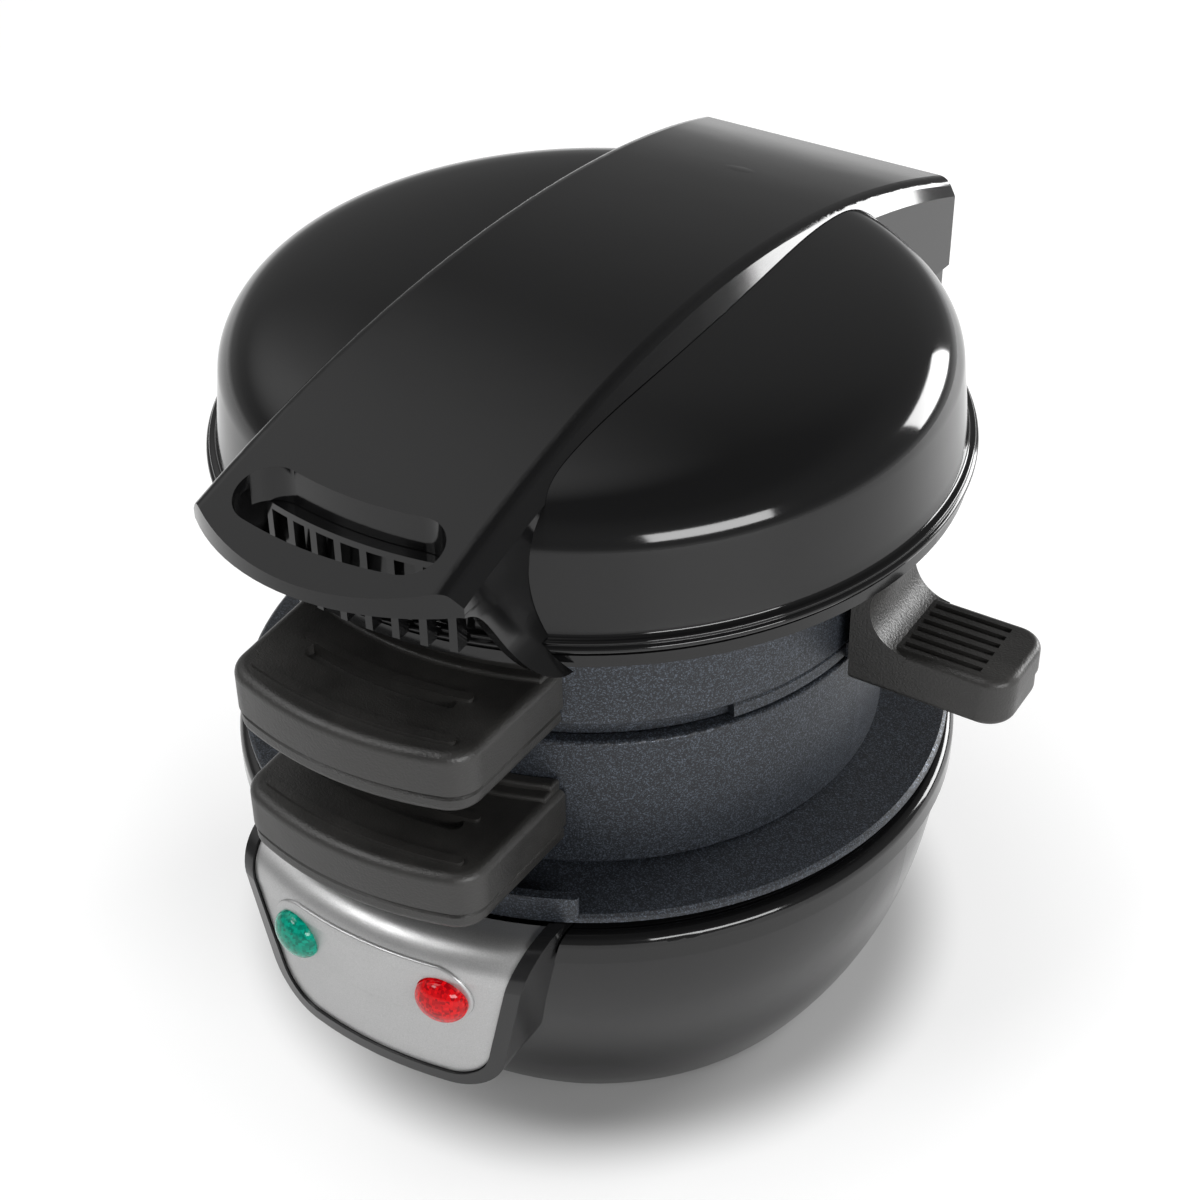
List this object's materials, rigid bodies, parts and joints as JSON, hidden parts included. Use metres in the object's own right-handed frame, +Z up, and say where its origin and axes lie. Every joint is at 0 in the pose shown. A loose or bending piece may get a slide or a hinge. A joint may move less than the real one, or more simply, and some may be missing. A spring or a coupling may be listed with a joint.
{
  "type": "breakfast sandwich maker",
  "caption": "Round countertop sandwich cooker: heated base and lid, stacked muffin rings, a swing-out cooking plate, strap handle, front ring handles and a lamp panel.",
  "frame": {"origin": "middle of the footprint's box, on the table under the feet", "axes": "+Z up; -Y is the front with the ring handles and lamp panel; +X is the side of the cooking plate handle"},
  "size_m": [0.152, 0.1706, 0.1466],
  "materials": {
    "gloss_black": "glossy black moulding",
    "matte_black": "fine-grained matte black moulding",
    "nonstick": "dark non-stick coating with fine sparkle on cast aluminium",
    "silver": "satin silver paint on plastic",
    "green_lens": "translucent green lens",
    "red_lens": "translucent red lens",
    "lamp_glass": "clear",
    "steel": "plain steel",
    "tin": "bright sheet",
    "rubber": "soft black",
    "white_plastic": "ivory"
  },
  "bodies": {
    "base": {"base_shell": "gloss_black", "base_rim": "gloss_black", "bottom_cover": "matte_black", "lower_heat_plate": "nonstick", "control_panel": "silver", "preheat_lens": "green_lens", "power_lens": "red_lens", "indicator_lamps": "lamp_glass", "hinge_pin": "steel", "cover_screws": "steel", "plate_screws": "steel", "lower_element": "steel", "thermostat": "steel", "lower_reflector": "tin", "lower_thermal_fuse": "tin", "rubber_feet": "rubber", "terminal_block": "white_plastic"},
    "lower_ring_assembly": {"lower_ring": "nonstick", "lower_handle_top": "matte_black", "lower_handle_base": "matte_black", "lower_handle_screws": "steel"},
    "upper_ring_assembly": {"upper_ring": "nonstick", "upper_handle_top": "matte_black", "upper_handle_base": "matte_black", "upper_handle_screws": "steel", "plate_pivot_pin": "steel"},
    "swing_plate": {"cooking_plate": "nonstick", "plate_handle_top": "matte_black", "plate_handle_base": "matte_black", "plate_handle_screw": "steel"},
    "lid": {"lid_dome": "gloss_black", "lid_liner": "gloss_black", "lid_strap": "gloss_black", "handle_grille": "gloss_black", "upper_heat_plate": "nonstick", "upper_element": "steel", "upper_reflector": "tin", "upper_thermal_fuse": "tin", "lid_screws": "steel"}
  },
  "joints": [
    {"name": "lower_ring_hinge", "type": "hinge", "parent": "base", "child": "lower_ring_assembly", "pos_m": [-0.0084, 0.07905, 0.106], "axis": [-1, 0, 0], "range_deg": [0, 30]},
    {"name": "upper_ring_hinge", "type": "hinge", "parent": "lower_ring_assembly", "child": "upper_ring_assembly", "pos_m": [-0.0084, 0.07905, 0.106], "axis": [-1, 0, 0], "range_deg": [0, 25]},
    {"name": "lid_hinge", "type": "hinge", "parent": "upper_ring_assembly", "child": "lid", "pos_m": [-0.0084, 0.07905, 0.106], "axis": [-1, 0, 0], "range_deg": [0, 90]},
    {"name": "cooking_plate_swivel", "type": "hinge", "parent": "upper_ring_assembly", "child": "swing_plate", "pos_m": [-0.0084, 0.06105, 0.0886], "axis": [0, 0, 1], "range_deg": [0, 85]}
  ]
}
